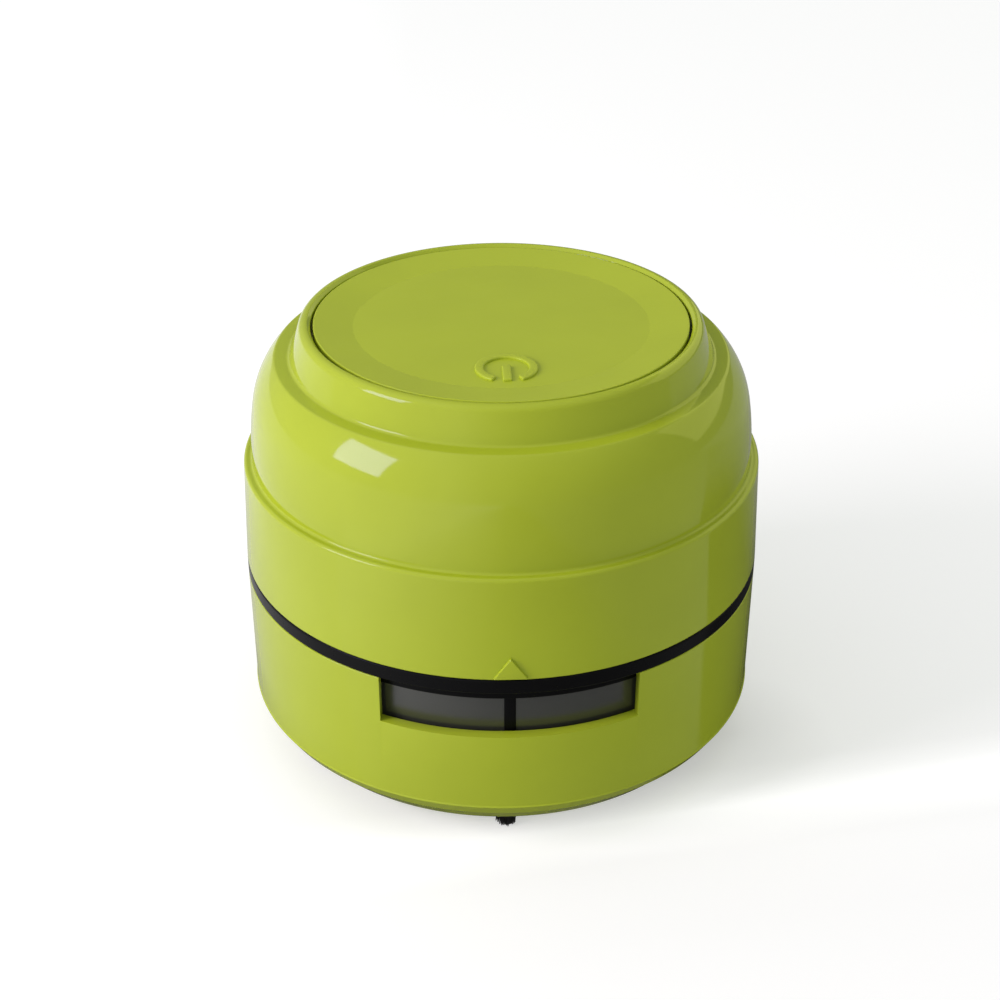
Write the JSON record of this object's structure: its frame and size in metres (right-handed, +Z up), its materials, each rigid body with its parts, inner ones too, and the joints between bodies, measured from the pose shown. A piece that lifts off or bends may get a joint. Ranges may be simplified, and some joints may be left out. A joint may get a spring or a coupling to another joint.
{
  "type": "desktop mini vacuum cleaner",
  "caption": "Round desk vacuum cleaner: domed power unit with a press-on top, lift-out filter basket and a dust cup standing on brush tufts.",
  "frame": {"origin": "on the desk, at the middle of the ring of brush tufts", "axes": "+Z up along the axis of the body, the exhaust window faces -Y, the charging socket +Y"},
  "size_m": [0.0846, 0.0846, 0.0731],
  "materials": {
    "lime_gloss": "glossy moulded plastic, lime green",
    "lime_satin": "finely textured moulded plastic, lime green",
    "black_plastic": "satin black moulded plastic",
    "filter_mesh": "fine dark grey woven mesh",
    "bristle": "black nylon bristles",
    "seal_rubber": "black silicone rubber",
    "grey_plastic": "grey moulded plastic",
    "motor_steel": "zinc-plated drawn steel",
    "screw_steel": "plated steel",
    "spring_steel": "spring wire",
    "white_plastic": "white nylon",
    "brass": "tinned brass",
    "nickel": "nickel strip",
    "cell_wrap": "blue heat-shrink sleeve on a steel cell",
    "circuit_board": "green solder mask",
    "chip_black": "moulded chip packages"
  },
  "bodies": {
    "cup_unit": {"dust_cup": "lime_gloss", "base_plate": "lime_gloss", "base_screws": "screw_steel", "brush_tuft_1": "bristle", "brush_tuft_2": "bristle", "brush_tuft_3": "bristle", "brush_tuft_4": "bristle", "brush_tuft_5": "bristle", "brush_tuft_6": "bristle"},
    "basket_unit": {"filter_frame": "black_plastic", "filter_mesh": "filter_mesh", "seal_ring": "seal_rubber"},
    "power_unit": {"upper_housing": "lime_gloss", "motor_carrier": "grey_plastic", "carrier_screws": "screw_steel", "motor_can": "motor_steel", "motor_end_cap": "white_plastic", "motor_terminals": "brass", "motor_screws": "screw_steel", "battery_cell": "cell_wrap", "battery_tabs": "nickel", "charge_board": "circuit_board", "charge_socket": "motor_steel", "socket_tongue": "chip_black", "board_components": "chip_black", "board_screws": "screw_steel", "switch_body": "black_plastic", "switch_board": "circuit_board", "switch_screws": "screw_steel", "button_spring": "spring_steel"},
    "fan_unit": {"motor_shaft": "screw_steel", "impeller": "grey_plastic"},
    "button_unit": {"power_button": "lime_satin"},
    "plunger_unit": {"switch_plunger": "white_plastic"}
  },
  "joints": [
    {"name": "basket_lift", "type": "slide", "parent": "cup_unit", "child": "basket_unit", "axis": [0, 0, 1], "range_m": [0, 0.03]},
    {"name": "power_unit_lift", "type": "slide", "parent": "basket_unit", "child": "power_unit", "axis": [0, 0, 1], "range_m": [0, 0.03]},
    {"name": "fan_spin", "type": "hinge", "parent": "power_unit", "child": "fan_unit", "pos_m": [0, 0, 0.03], "axis": [0, 0, 1], "continuous": true},
    {"name": "button_press", "type": "slide", "parent": "power_unit", "child": "button_unit", "axis": [0, 0, -1], "range_m": [0, 0.0012], "stiffness_N_per_m": 250, "springref_m": -0.002, "deforming": ["button_spring"]},
    {"name": "switch_press", "type": "slide", "parent": "power_unit", "child": "plunger_unit", "axis": [0, 0, -1], "range_m": [0, 0.0012], "stiffness_N_per_m": 150, "springref_m": -0.002}
  ],
  "couplings": [
    {"joint": "switch_press", "follows": "button_press", "ratio": 1}
  ]
}
